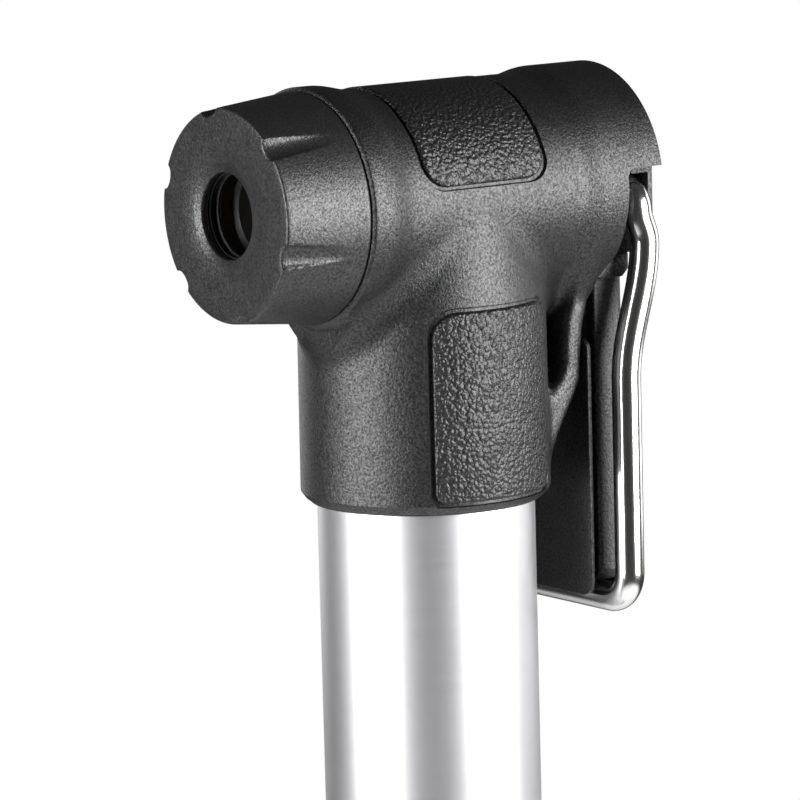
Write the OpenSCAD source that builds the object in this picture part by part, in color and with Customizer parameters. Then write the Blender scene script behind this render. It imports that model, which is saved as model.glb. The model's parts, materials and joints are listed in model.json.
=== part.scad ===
// Mini bicycle pump with a thumb-lock head.
// The origin is the centre of the handle's flat end. +Z runs up the barrel to the head,
// the valve port faces -Y and the thumb lever hangs behind the barrel at +Y.

/* [Overall] */
// Height of the head's cross axis above the handle end
head_z = 195; // [190:1:200]
// Smoothness of the round faces
round_fn = 96; // [48:8:128]

/* [Barrel] */
// Outside diameter of the aluminium barrel
barrel_d = 22; // [22:0.1:22.2]
// Wall thickness of the barrel
barrel_wall = 1; // [0.8:0.1:1.2]
// Height where the barrel's lower end sits in the gland
barrel_low = 66; // [65:0.5:67]
// How far below the head axis the barrel's upper end stops
barrel_drop = 12; // [12:0.1:12.2]

/* [Head] */
// Outside radius of the head's cross tube at its waist
tube_r = 11.22; // [11.1:0.02:11.3]
// Outside radius of the flared hood at the rear
hood_r = 11.8; // [11.7:0.05:11.9]
// Radius of the cavity inside the hood
cavity_r = 10.4; // [10.35:0.05:10.5]
// Rear end of the hood
hood_end = 22.2; // [22.1:0.1:22.4]
// Seam between the head and the valve cap
seam_y = -14.2; // [-14.3:0.1:-14.1]
// Radius of the collar round the barrel, at its foot
collar_r = 12.64; // [12.5:0.02:12.8]
// How far below the head axis the collar ends
collar_drop = 30.5; // [30:0.1:31]

/* [Valve cap] */
// Radius of the cap's front face
cap_face_r = 10.57; // [10.4:0.05:10.7]
// Radius of the cap at the seam
cap_back_r = 11.5; // [11.4:0.05:11.6]
// Front face of the cap
cap_y = -23.66; // [-23.8:0.02:-23.5]
// Radius of the valve port
port_r = 4.3; // [4.2:0.05:4.4]
// Length of the port's straight wall
port_land = 1.2; // [1:0.1:1.4]
// Number of grip notches round the cap
notch_count = 6; // [4:1:8]

/* [Lever] */
// Distance of the lever pivot behind the barrel axis
pivot_y = 20; // [19.9:0.1:20.2]
// Height of the lever pivot from the head axis
pivot_dz = -0.5; // [-0.6:0.1:-0.4]
// Diameter of the bail wire
wire_d = 3; // [2.9:0.1:3]
// Distance from the middle to a leg of the bail
leg_x = 10; // [10:0.1:10.2]
// How far the cam's centre stands off the pivot
cam_throw = 1.4; // [1:0.1:1.4]

/* [Handle] */
// Length of the handle
handle_len = 62; // [61:0.5:62]
// Outside radius of the handle grip
grip_r = 13.2; // [13:0.1:13.5]
// Radius of the piston rod
rod_r = 3; // [2.8:0.1:3]

/* [Hidden] */
$fn = round_fn;

barrel_r = barrel_d / 2;
bore_r = barrel_r - barrel_wall;
barrel_top = head_z - barrel_drop;
collar_foot = head_z - collar_drop;
wire_r = wire_d / 2;
run_gap = 0.05;         // radial running clearance of shafts and threads
face_gap = 0.05;        // clearance between faces of bodies that move on each other
spigot_r = 9.6;         // threaded nose of the head under the valve cap
spigot_end = -20.4;
chamber_r = 7.2;        // bore that the plunger slides in
chamber_end = 10;
tail_r = 6.5;           // narrower rear length of that bore
cavity_floor = 16;      // front wall of the cavity under the hood
notch_front = 17.6;     // where the hood's lower half is cut away
notch_top = 1.9;
notch_round = 1;
ear_in = 4.6;           // inner and outer faces of the pivot ears
ear_out = 6.6;
ear_r = 2.7;
pad_gap = 0.5;          // groove round each textured pad
pad_sink = 0.9;         // depth of the pad pockets
pad_proud = 0.22;
side_pad_low = -32.5;   // polar angles of the side pad's edges
side_pad_high = 38;
side_pad_top = -10.4;
top_pad_front = -7.1;
top_pad_back = 7.65;
top_pad_angle = 79.5;   // half of the arc that the top pad covers
strap_half = 7.3;
web_half = 1.2;
bend_r = 3;             // centreline radius of the bail's lower bends
top_bend_r = 2.2;       // and of its upper bends
bail_y = 18.2;          // straight length of the bail
bail_foot = -42.5;
shell_front = 16.5;     // front face of the thumb grip, and of the boss before it
boss_half = 6;
cam_r = 3.6;
gland_r = 13;
gland_top = 76;
seat_r = 3.5;           // check valve between the barrel and the head
seat_top = barrel_top + 1.2;
disc_low = seat_top + 0.22;
disc_t = 0.6;
spring_stop = head_z - chamber_r - 1;
piston_h = 8.5;
piston_foot = barrel_top - 0.6 - piston_h;

// Turns a profile of [radius, y] points about the head's cross axis.
module turn_y(points) {
    translate([0, 0, head_z]) rotate([-90, 0, 0]) rotate_extrude() polygon(points);
}

// Turns a profile of [radius, z] points about the barrel axis.
module turn_z(points) {
    rotate_extrude() polygon(points);
}

// A straight rod along Y from y0 to y1, at the head axis.
module rod_y(r, y0, y1) {
    translate([0, y0, head_z]) rotate([-90, 0, 0]) cylinder(r = r, h = y1 - y0);
}

// A straight rod along Z from z0 to z1.
module rod_z(r, z0, z1) {
    translate([0, 0, z0]) cylinder(r = r, h = z1 - z0);
}

// A straight rod along X from x0 to x1, through the point [y, dz] of the head.
module rod_x(r, x0, x1, y, dz) {
    translate([x0, y, head_z + dz]) rotate([0, 90, 0]) cylinder(r = r, h = x1 - x0);
}

// A block from corner a to corner b, with heights counted from the head axis.
module block(a, b) {
    translate([a[0], a[1], head_z + a[2]]) cube(b - a);
}

// Extrudes a side outline of [y, dz] points across x0 to x1.
module side_cut(points, x0, x1) {
    translate([x0, 0, head_z]) rotate([90, 0, 90]) linear_extrude(x1 - x0) polygon(points);
}

// A block of the given size with its corners rounded about Y.
module round_plate(half, dz0, dz1, y0, y1, r) {
    translate([0, y1, head_z]) rotate([90, 0, 0]) linear_extrude(y1 - y0) union() {
        translate([-half + r, dz0]) square([2 * (half - r), dz1 - dz0]);
        translate([-half, dz0 + r]) square([2 * half, dz1 - dz0 - 2 * r]);
        for (x = [-half + r, half - r], z = [dz0 + r, dz1 - r]) translate([x, z]) circle(r, $fn = 32);
    }
}

// A round tube swept along a route of points that never runs along the direction side.
function unit(v) = v / norm(v);
function tangents(p) = [for (i = [0:len(p) - 1]) unit(p[min(i + 1, len(p) - 1)] - p[max(i - 1, 0)])];
module sweep(route, r, sides, side) {
    t = tangents(route);
    points = [for (i = [0:len(route) - 1]) let (n = unit(cross(t[i], side)), b = cross(t[i], n))
        for (k = [0:sides - 1]) route[i] + r * (cos(360 * k / sides) * n + sin(360 * k / sides) * b)];
    rings = len(route);
    faces = concat(
        [[for (k = [sides - 1:-1:0]) k]],
        [[for (k = [0:sides - 1]) (rings - 1) * sides + k]],
        [for (i = [0:rings - 2], k = [0:sides - 1]) let (m = (k + 1) % sides)
            [i * sides + k, i * sides + m, (i + 1) * sides + m, (i + 1) * sides + k]]);
    polyhedron(points, faces);
}

// The space that a side pad fills: a window in the collar's wall, grown by gap all round.
module side_window(r0, r1, gap) {
    steps = 12;
    low = side_pad_low - gap * 4.5;
    high = side_pad_high + gap * 4.5;
    intersection() {
        difference() {
            rod_z(r1, collar_foot - 1, head_z + side_pad_top + gap);
            rod_z(r0, collar_foot - 2, head_z);
        }
        translate([0, 0, collar_foot + 1.2 - gap * 2]) linear_extrude(collar_drop)
            polygon(concat([[0, 0]], [for (i = [0:steps]) let (a = low + (high - low) * i / steps)
                [20 * cos(a), 20 * sin(a)]]));
    }
}

// The space that the top pad fills, in the cross tube's wall.
module top_window(r0, r1, gap) {
    half = top_pad_angle + gap * 5;
    intersection() {
        difference() {
            rod_y(r1, top_pad_front - gap, top_pad_back + gap);
            rod_y(r0, top_pad_front - 2, top_pad_back + 2);
        }
        translate([0, -20, head_z]) rotate([-90, 0, 0]) linear_extrude(40)
            polygon([[0, 0], [20 * sin(half), -20 * cos(half)], [20 * tan(half / 2), -20],
                     [-20 * tan(half / 2), -20], [-20 * sin(half), -20 * cos(half)]]);
    }
}

// The T-shaped moulding: cross tube, collar, strap, ears, and all its bores.
module head_body() {
    color([0.11, 0.11, 0.115]) difference() {
        union() {
            turn_y([[0, spigot_end], [spigot_r - 0.5, spigot_end], [spigot_r, spigot_end + 0.5],
                    [spigot_r, seam_y], [11.85, seam_y], [11.8, -12], [11.6, -10.5], [tube_r, -8.8],
                    [tube_r, 12.2], [hood_r, 14.8], [hood_r, hood_end], [0, hood_end]]);
            turn_z([[0, collar_foot], [11.6, collar_foot], [collar_r, collar_foot + 1.2],
                    [collar_r - 0.14, head_z - 9.5], [11.4, head_z - 4], [0, head_z - 4]]);
            side_cut([[12, -7], [16.3, -9.2], [15.97, -11], [15.1, -14.2], [14.75, -19.6], [10, -28],
                      [9, -23], [12.25, -19], [12.65, -15.5], [13.4, -11.8], [14, -9.8], [12, -8.6]],
                     -strap_half, strap_half);
            side_cut([[10, -8], [14, -8], [14.5, -10], [13.6, -19], [10, -26]], -web_half, web_half);
        }
        rod_y(chamber_r, spigot_end - 1, chamber_end);
        rod_y(tail_r, chamber_end - 1, cavity_floor + 1);
        difference() {
            rod_y(cavity_r, cavity_floor, hood_end + 1);
            for (s = [-1, 1]) pivot_ear(s);
        }
        // the hood's lower half is cut away so that the lever can swing
        difference() {
            union() {
                block([-20, notch_front + notch_round, -30], [20, 30, notch_top]);
                block([-20, notch_front, -30], [20, 30, notch_top - notch_round]);
                rod_x(notch_round, -20, 20, notch_front + notch_round, notch_top - notch_round);
            }
            for (s = [-1, 1]) pivot_ear(s);
        }
        // below the notch the hood ends at the strap's rear face
        side_cut([[notch_front, -7], [16.3, -9.2], [15.97, -11], [15.1, -14.2], [30, -14.2], [30, -7]],
                 -20, 20);
        rod_x(wire_r + run_gap, -ear_out - 1, ear_out + 1, pivot_y, pivot_dz);
        // barrel socket, O-ring seat, and the check valve's stepped bore
        rod_z(barrel_r, collar_foot - 1, barrel_top);
        rod_z(barrel_r, barrel_top - 0.1, barrel_top + 1.3);
        rod_z(seat_r, barrel_top, seat_top);
        rod_z(2.6, barrel_top, spring_stop);
        rod_z(1.3, barrel_top, head_z - chamber_r + 1);
        for (s = [0, 1]) mirror([s, 0, 0]) side_window(collar_r - 0.14 - pad_sink, 20, pad_gap);
        top_window(tube_r - pad_sink, 20, pad_gap);
    }
    // land inside the O-ring seat that keeps the piston off the check valve
    color([0.11, 0.11, 0.115]) difference() {
        rod_z(8.8, barrel_top, barrel_top + 1.3);
        rod_z(seat_r, barrel_top - 1, barrel_top + 2);
    }
}

// One of the two ears that carry the bail's turned-in ends.
module pivot_ear(s) {
    x0 = s > 0 ? ear_in : -ear_out;
    x1 = x0 + ear_out - ear_in;
    intersection() {
        union() {
            rod_x(ear_r, x0, x1, pivot_y, pivot_dz);
            block([x0, cavity_floor - 1, pivot_dz - ear_r], [x1, pivot_y, pivot_dz + ear_r]);
        }
        block([-20, 0, -20], [20, hood_end - 0.1, 20]);
    }
}

// Textured soft pads set in shallow pockets.
module top_pad() {
    color([0.16, 0.16, 0.165]) top_window(tube_r - pad_sink, tube_r + pad_proud, 0);
}

module side_pad_right() {
    color([0.16, 0.16, 0.165]) side_window(collar_r - 0.14 - pad_sink, collar_r, 0);
}

module side_pad_left() {
    color([0.16, 0.16, 0.165]) mirror([1, 0, 0]) side_window(collar_r - 0.14 - pad_sink, collar_r, 0);
}

// Screw-on cap that presses the grommet and holds the port.
module valve_cap() {
    notch_r = 1.1;
    notch_len = 7;
    slope = atan((cap_back_r - cap_face_r) / (seam_y - cap_y) + 0.9 / notch_len);
    color([0.2, 0.2, 0.205]) difference() {
        turn_y([[port_r, cap_y], [cap_face_r - 0.25, cap_y], [cap_face_r, cap_y + 0.25],
                [cap_back_r, seam_y - face_gap], [spigot_r + run_gap, seam_y - face_gap],
                [spigot_r + run_gap, spigot_end - 0.3], [chamber_r, spigot_end - 0.3],
                [chamber_r, cap_y + port_land], [port_r, cap_y + port_land]]);
        for (i = [0:notch_count - 1]) translate([0, 0, head_z])
            rotate([0, -12.5 + 360 * i / notch_count, 0])
                translate([0, cap_y - 1, cap_face_r - 0.9 + notch_r - tan(slope)])
                    rotate([-90 + slope, 0, 0]) cylinder(r = notch_r, h = 12);
    }
}

// Rubber grommet with two sealing ribs that grip the valve stem.
module valve_grommet() {
    front = cap_y + port_land + face_gap;
    rear = -12 - face_gap;
    rib = port_r - 0.12;
    groove = port_r + 0.35;
    color([0.05, 0.05, 0.05])
        turn_y([[rib, front], [chamber_r - 0.1, front], [chamber_r - 0.1, rear], [3.4, rear],
                [3.4, front + 6], [rib, front + 3.4], [groove, front + 3], [groove, front + 1.6],
                [rib, front + 1.2], [rib, front + 0.9], [groove, front + 0.7], [groove, front + 0.35]]);
}

module thrust_washer() {
    color([0.75, 0.6, 0.3]) turn_y([[2.6, -12], [chamber_r - 0.1, -12], [chamber_r - 0.1, -11], [2.6, -11]]);
}

// Sliding plunger: the cam pushes it forward against the grommet.
module plunger() {
    r = chamber_r - run_gap;
    tail = tail_r - run_gap;
    rear = pivot_y - cam_r - 0.35;
    color([0.85, 0.85, 0.82]) difference() {
        turn_y([[0, -11], [r, -11], [r, -8.6], [r - 1.2, -8.6], [r - 1.2, -6.9], [r, -6.9], [r, -5],
                [5, -4], [5, 4], [r, 5], [r, 6.2], [r - 1.2, 6.2], [r - 1.2, 7.9], [r, 7.9],
                [r, chamber_end - 0.1], [tail, chamber_end - 0.1], [tail, rear], [0, rear]]);
        rod_y(1.5, -12, 1);
        translate([0, -1, head_z - 8]) cylinder(r = 1.2, h = 16);
    }
}

module plunger_o_rings() {
    color([0.03, 0.03, 0.03]) for (y = [-7.75, 7.05])
        translate([0, y, head_z]) rotate([-90, 0, 0]) rotate_extrude()
            translate([chamber_r - 0.65, 0]) circle(0.59, $fn = 24);
}

// Pin that pushes the valve's core open; its square foot lets air past its flats.
module core_depressor() {
    color([0.8, 0.66, 0.35]) union() {
        turn_y([[0, -17], [0.6, -17], [0.9, -16.7], [0.9, -11], [0, -11]]);
        translate([0, -11.5, head_z]) rotate([-90, 0, 0]) cylinder(r = 1.48, h = 2.5, $fn = 4);
    }
}

// Cam and cheeks that turn with the lever; the bail's ends pass through as the hinge pin.
module cam_hub() {
    z0 = pivot_dz;
    cheek_in = ear_out + 0.2;
    cheek_out = 9.9;
    cheek_r = 3.4;
    rear = hood_end - 0.05;
    slot_back = pivot_y + wire_r + 0.1;
    slot_step = pivot_y - 0.5;
    wire_top = z0 + wire_r + 0.1;
    slot_top = notch_top + 0.1;
    color([0.12, 0.12, 0.125]) difference() {
        union() {
            rod_x(cam_r, -ear_in + 0.2, ear_in - 0.2, pivot_y, z0 + cam_throw);
            block([-ear_in + 0.2, pivot_y - 1.5, -7.1], [ear_in - 0.2, pivot_y + 1, 0]);
            for (s = [-1, 1]) rod_x(cheek_r, s > 0 ? cheek_in : -cheek_out, s > 0 ? cheek_out : -cheek_in,
                                    pivot_y, z0);
            for (s = [-1, 1]) block([s > 0 ? cheek_in : -8, 18.8, -7.1], [s > 0 ? 8 : -cheek_in, 21, z0]);
            block([-8, 18.8, -7.1], [8, 21, z0 - 3]);
        }
        block([-20, rear, -20], [20, 40, 20]);
        // slots where the bail's bends come out of the cheeks
        for (s = [0, 1]) mirror([s, 0, 0]) {
            block([8.02, 10, -10], [20, slot_back, wire_top]);
            block([cheek_in - 0.05, 10, -2.7], [8.1, slot_back, wire_top]);
            block([cheek_in - 0.05, 10, z0], [20, slot_step, slot_top]);
        }
        rod_x(wire_r + 0.02, -20, 20, pivot_y, z0);
    }
}

// Thumb grip between the bail's legs. A wider block with a sloped shelf is its top, and
// a hook at its foot holds the bail's lower run.
module lever_shell() {
    half = 6.95;
    top = -7.15;
    foot = bail_foot + wire_r + 0.05;
    side = [[boss_half, shell_front], [half, shell_front + 0.2], [half, 20], [6.4, 20.6], [4, 21]];
    color([0.12, 0.12, 0.125]) union() {
        intersection() {
            translate([0, 0, head_z - 60]) linear_extrude(60)
                polygon(concat(side, [for (i = [len(side) - 1:-1:0]) [-side[i][0], side[i][1]]]));
            round_plate(half, foot, -9.4, 10, 30, 1.55);
        }
        side_cut([[16.6, -9.3], [19, top], [20.8, top], [20.8, -8.8], [20, -9.6], [17, -9.6]],
                 -half - 0.65, half + 0.65);
        block([-boss_half, bail_y + wire_r + 0.05, foot - 2], [boss_half, 21, foot + 2]);
    }
}

// Flat inner face of the lever, standing off the shell on a narrower boss.
module lever_face_plate() {
    color([0.13, 0.13, 0.135]) {
        round_plate(7.6, -42.1, -15.5, 15.1, 15.65, 1.3);
        round_plate(boss_half, -41.2, -16.2, 15.65, shell_front, 1.3);
    }
}

// Steel wire bent round the thumb grip; its turned-in ends are the hinge pins.
function arc_xz(cx, cz, r, a0, a1, y, n) =
    [for (i = [0:n]) let (a = a0 + (a1 - a0) * i / n) [cx + r * cos(a), y, cz + r * sin(a)]];
function ease(t) = (1 - cos(180 * t)) / 2;
function leg_y(dz) = dz > -5.8 ? pivot_y + 0.9 * ease(max(0, min(1, (-2.5 - dz) / 3.3)))
    : bail_y + (pivot_y + 0.9 - bail_y) * (1 - ease(min(1, (-5.8 - dz) / 14)));
module wire_bail() {
    top = pivot_dz - top_bend_r;
    inner = leg_x - bend_r;
    top_inner = leg_x - top_bend_r;
    half = concat(
        [[1.5, pivot_y, pivot_dz], [top_inner - 0.6, pivot_y, pivot_dz]],
        [for (p = arc_xz(top_inner, top, top_bend_r, 90, 0, 0, 8)) [p[0], leg_y(p[2]), p[2]]],
        [for (dz = [-4.6:-1.1:-21]) [leg_x, leg_y(dz), dz]],
        [[leg_x, bail_y, -30]],
        arc_xz(inner, bail_foot + bend_r, bend_r, 0, -90, bail_y, 8));
    route = concat(half, [for (i = [len(half) - 1:-1:0]) [-half[i][0], half[i][1], half[i][2]]]);
    color([0.8, 0.8, 0.82]) translate([0, 0, head_z]) sweep(route, wire_r, 20, [0, 1, 0]);
}

// One-way valve between the barrel and the head.
module check_valve_seat() {
    color([0.8, 0.66, 0.35])
        turn_z([[0.9, barrel_top], [seat_r, barrel_top], [seat_r, seat_top], [1.4, seat_top],
                [1.4, seat_top + 0.2], [0.9, seat_top + 0.2]]);
}

module check_valve_disc() {
    color([0.05, 0.05, 0.05]) rod_z(2.2, disc_low, disc_low + disc_t);
}

module check_valve_spring() {
    wire = 0.16;
    low = disc_low + disc_t + 0.02 + wire;
    high = spring_stop - wire;
    turns = 2.5;
    color([0.75, 0.75, 0.77]) sweep([for (i = [0:turns * 16]) let (a = 360 * i / 16)
        [1.8 * cos(a), 1.8 * sin(a), low + (high - low) * i / (turns * 16)]], wire, 8, [0, 0, 1]);
}

// Aluminium barrel tube.
module barrel() {
    color([0.82, 0.82, 0.83])
        turn_z([[bore_r, barrel_low], [barrel_r, barrel_low], [barrel_r, barrel_top], [bore_r, barrel_top]]);
}

module barrel_o_ring() {
    color([0.03, 0.03, 0.03]) translate([0, 0, barrel_top + 0.65]) rotate_extrude()
        translate([9.9, 0]) circle(0.62, $fn = 24);
}

// Lower collar that closes the barrel and guides the rod.
module barrel_gland() {
    foot = handle_len + face_gap;
    color([0.12, 0.12, 0.125]) difference() {
        turn_z([[0, foot], [gland_r - 0.5, foot], [gland_r, foot + 0.5], [gland_r, gland_top - 1.5],
                [11.9, gland_top], [0, gland_top]]);
        rod_z(barrel_r, barrel_low, gland_top + 1);
        rod_z(5.6, foot + 1.5, barrel_low + 1);
        rod_z(rod_r + 0.5, foot - 1, barrel_low);
    }
}

module rod_bush() {
    color([0.85, 0.83, 0.75])
        turn_z([[rod_r + run_gap, handle_len + 2.6], [5.6, handle_len + 2.6], [5.6, barrel_low],
                [bore_r, barrel_low], [bore_r, barrel_low + 5], [rod_r + run_gap, barrel_low + 5]]);
}

module rod_wiper() {
    color([0.05, 0.05, 0.05])
        turn_z([[rod_r + run_gap, handle_len + 1.6], [5.6, handle_len + 1.6], [5.6, handle_len + 2.6],
                [rod_r + run_gap, handle_len + 2.6]]);
}

module bump_stop() {
    color([0.05, 0.05, 0.05])
        turn_z([[rod_r + 0.3, barrel_low + 5], [6.5, barrel_low + 5], [6, barrel_low + 9],
                [rod_r + 0.3, barrel_low + 9]]);
}

// Rod, with a threaded socket at each end.
module piston_rod() {
    color([0.75, 0.75, 0.77]) difference() {
        rod_z(rod_r, 12, piston_foot + 3);
        rod_z(1.6, 11, 24);
        rod_z(1.6, piston_foot - 7, barrel_top);
    }
}

module piston() {
    r = bore_r - 0.08;
    foot = piston_foot;
    color([0.9, 0.9, 0.88])
        turn_z([[rod_r, foot], [r, foot], [r, foot + 4], [r - 1.5, foot + 4], [r - 1.5, foot + 6.2],
                [r, foot + 6.2], [r, foot + piston_h], [5, foot + piston_h], [5, foot + 6],
                [1.7, foot + 6], [1.7, foot + 3], [rod_r, foot + 3]]);
}

module piston_o_ring() {
    color([0.03, 0.03, 0.03]) translate([0, 0, piston_foot + 5.1]) rotate_extrude()
        translate([bore_r - 0.79, 0]) circle(0.75, $fn = 24);
}

module piston_screw() {
    seat = piston_foot + 6;
    color([0.7, 0.7, 0.72]) difference() {
        turn_z([[0, seat - 12], [1.6, seat - 12], [1.6, seat], [3, seat], [3, seat + 1.8], [0, seat + 1.8]]);
        translate([0, 0, seat + 0.8]) cylinder(r = 1.2, h = 3, $fn = 6);
    }
}

// Moulded handle core that carries the rod.
module handle_core() {
    r = grip_r - 1.2;
    color([0.12, 0.12, 0.125]) difference() {
        turn_z([[0, 3], [r, 3], [r, 55], [grip_r - 0.2, 55], [grip_r - 0.2, handle_len - 0.6],
                [grip_r - 0.8, handle_len], [0, handle_len]]);
        rod_z(rod_r, 12, handle_len + 1);
        rod_z(2.1, 2, 13);
        rod_z(9, 2, 9);
        for (a = [0:60:300]) rotate([0, 0, a]) translate([7.4, 0, 14]) cylinder(r = 2.4, h = handle_len);
    }
}

// Soft sleeve over the core.
module handle_grip() {
    r = grip_r - 1.2;
    color([0.16, 0.16, 0.165])
        turn_z([[r, 5.5], [grip_r - 0.4, 5.5], [grip_r, 6], [grip_r, 54.4], [grip_r - 0.4, 54.8],
                [r, 54.8]]);
}

module handle_end_cap() {
    r = grip_r - 0.2;
    color([0.12, 0.12, 0.125])
        turn_z([[0, 0], [r - 1.2, 0], [r, 1.2], [r, 5.4], [grip_r - 1.2, 5.4], [grip_r - 1.2, 3],
                [9, 3], [9, 5], [8, 5], [8, 2], [0, 2]]);
}

module handle_screw() {
    color([0.7, 0.7, 0.72]) difference() {
        turn_z([[0, 6.8], [3.6, 6.8], [3.6, 9], [1.6, 9], [1.6, 23], [0, 23]]);
        translate([0, 0, 6]) cylinder(r = 1.5, h = 2.2, $fn = 6);
    }
}

head_body();
top_pad();
side_pad_right();
side_pad_left();
valve_cap();
valve_grommet();
thrust_washer();
plunger();
plunger_o_rings();
core_depressor();
cam_hub();
lever_shell();
lever_face_plate();
wire_bail();
check_valve_seat();
check_valve_disc();
check_valve_spring();
barrel();
barrel_o_ring();
barrel_gland();
rod_bush();
rod_wiper();
bump_stop();
piston_rod();
piston();
piston_o_ring();
piston_screw();
handle_core();
handle_grip();
handle_end_cap();
handle_screw();
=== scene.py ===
"""Studio model of a mini pump with a thumb-lock head.

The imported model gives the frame. Lengths are in millimetres, and MM turns them into Blender's
metres where a mesh is made. Points on the head are counted from its centre.
"""

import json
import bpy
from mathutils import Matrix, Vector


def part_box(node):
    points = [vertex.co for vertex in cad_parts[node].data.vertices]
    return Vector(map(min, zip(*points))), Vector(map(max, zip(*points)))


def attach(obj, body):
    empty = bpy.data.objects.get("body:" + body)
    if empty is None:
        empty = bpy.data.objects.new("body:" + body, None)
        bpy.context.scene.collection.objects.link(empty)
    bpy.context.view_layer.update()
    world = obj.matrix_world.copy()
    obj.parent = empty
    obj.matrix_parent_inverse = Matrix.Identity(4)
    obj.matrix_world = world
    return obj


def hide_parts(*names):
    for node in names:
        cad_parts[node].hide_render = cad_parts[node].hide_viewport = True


bl_info = {
    "name": "Mini pump",
    "version": (1, 0, 0),
    "blender": (4, 5, 0),
    "location": "View3D > Sidebar > Mini pump",
    "description": "Builds a mini pump with a thumb-lock head, piece by piece",
    "category": "Add Mesh",
}

from math import acos, atan2, cos, pi, radians, sin, tan, tau

import bpy
import numpy as np
from bpy.props import FloatProperty, IntProperty, PointerProperty, StringProperty
from mathutils import Matrix, Vector

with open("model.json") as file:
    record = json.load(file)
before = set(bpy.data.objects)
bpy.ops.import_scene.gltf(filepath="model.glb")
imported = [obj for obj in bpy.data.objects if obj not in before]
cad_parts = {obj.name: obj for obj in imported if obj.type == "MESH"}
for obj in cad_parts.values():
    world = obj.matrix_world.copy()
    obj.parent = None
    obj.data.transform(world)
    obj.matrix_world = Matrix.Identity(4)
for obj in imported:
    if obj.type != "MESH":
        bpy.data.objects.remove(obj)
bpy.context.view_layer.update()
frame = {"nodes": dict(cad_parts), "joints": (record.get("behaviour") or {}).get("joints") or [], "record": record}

MM = 0.001
CAVITY_FLOOR = 16       # front wall of the cavity under the hood
CAVITY_RADIUS = 10.4
CHAMBER_RADIUS = 7.2    # bore that the plunger slides in, and its narrower rear length
TAIL_RADIUS = 6.5
SPIGOT_RADIUS = 9.6     # threaded nose under the cap
EAR_INNER, EAR_OUTER = 4.6, 6.6
CHEEK_INNER, CHEEK_OUTER = 6.8, 9.9
JOG = 0.9               # how far the bail steps back behind its pivot
BOSS_HALF = 6           # half width of the boss between thumb grip and inner plate
CAMERA_OFFSET = Vector((0.7944, -0.5976, 0.117))        # from the head to a camera a metre away


def node_box(node):
    """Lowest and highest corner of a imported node, in millimetres."""
    low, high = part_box(node)
    return low / MM, high / MM


mounts = {mount["name"]: mount for mount in frame["record"]["mounts"]}
joints = {joint["name"]: joint for joint in frame["joints"]}
HEAD = Vector((0, 0, mounts["valve_port"]["pos_m"][2])) / MM
PIVOT = Vector(joints["lever_lock"]["pos_m"]) / MM - HEAD
HEAD_LOW, HEAD_HIGH = (corner - HEAD for corner in node_box("head_body"))
CAP_LOW, CAP_HIGH = (corner - HEAD for corner in node_box("valve_cap"))
SHELL_LOW, SHELL_HIGH = (corner - HEAD for corner in node_box("lever_shell"))
PLATE_LOW, PLATE_HIGH = (corner - HEAD for corner in node_box("lever_face_plate"))
BAIL_LOW, BAIL_HIGH = (corner - HEAD for corner in node_box("wire_bail"))
BARREL_LOW, BARREL_HIGH = node_box("barrel")
GLAND_LOW, GLAND_HIGH = node_box("barrel_gland")
GRIP_LOW, GRIP_HIGH = node_box("handle_grip")
END_HIGH = node_box("handle_end_cap")[1]


def length(name, description, millimetres):
    """A property that holds a length, given in millimetres."""
    return FloatProperty(name=name, description=description, default=millimetres * MM,
                         min=0.0, precision=5, unit="LENGTH", subtype="DISTANCE")


def colour(name, description, hexadecimal):
    """A property that holds an sRGB hex colour."""
    return StringProperty(name=name, description=description, default=hexadecimal)


# ---------------------------------------------------------------- settings


class HeadSettings(bpy.types.PropertyGroup):
    waist: length("Waist radius", "Radius of the cross tube at its waist", 11.22)
    bead: length("Bead radius", "Radius of the cross tube behind the cap", 11.86)
    hood: length("Hood radius", "Radius of the hood over the lever's pivot", 11.8)
    collar: length("Collar radius", "Radius of the collar round the barrel", 12.5)
    fillet: length("Fillet", "Radius where the collar runs into the cross tube", 5.0)
    voxel: length("Mesh size", "Size of the faces that the moulded blend is made of", 0.42)


class CapSettings(bpy.types.PropertyGroup):
    face: length("Face radius", "Radius of the cap's front face", 10.57)
    port: length("Port radius", "Radius of the hole for the valve", mounts["valve_port"]["dims"]["r_mm"])
    notches: IntProperty(name="Notches", description="Grip notches round the cap", default=6, min=3)
    notch_turn: FloatProperty(name="Notch angle", description="Place of the first notch from the top",
                              default=radians(-12.5), subtype="ANGLE", unit="ROTATION")
    notch_width: length("Notch width", "Half of a notch's width at the front face", 1.3)
    notch_depth: length("Notch depth", "Depth of a notch at the front face", 0.75)


class PadSettings(bpy.types.PropertyGroup):
    groove: length("Groove", "Width of the groove round each pad", 0.42)
    proud: length("Crown", "How far a pad stands above the moulding", 0.12)


class LeverSettings(bpy.types.PropertyGroup):
    wire: length("Wire diameter", "Diameter of the bail's wire", 3.0)
    edge: length("Edge radius", "Rounding on the lever's top block", 0.2)


class HandleSettings(bpy.types.PropertyGroup):
    grooves: IntProperty(name="Grooves", description="Rings round the grip sleeve", default=10, min=1)
    groove_depth: length("Groove depth", "Depth of the rings round the grip sleeve", 0.45)
    flutes: IntProperty(name="Flutes", description="Flutes round the gland", default=12, min=3)


class FinishSettings(bpy.types.PropertyGroup):
    nylon: colour("Nylon", "Colour of the glass-filled nylon", "#0f0f10")
    cap_nylon: colour("Cap nylon", "Colour of the cap's smoother nylon", "#1a1a1b")
    pad: colour("Pad rubber", "Colour of the textured soft pads", "#161617")
    aluminium: colour("Aluminium", "Colour of the anodised barrel", "#d4d4d6")
    wire: colour("Polished steel", "Colour of the polished wire", "#dedddb")
    steel: colour("Ground steel", "Colour of the rod and screws", "#b4b5b8")
    rubber: colour("Rubber", "Colour of the seals", "#141414")
    acetal: colour("Acetal", "Colour of the sliding parts", "#e6e4dc")
    brass: colour("Brass", "Colour of the turned brass parts", "#d0a558")


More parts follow.
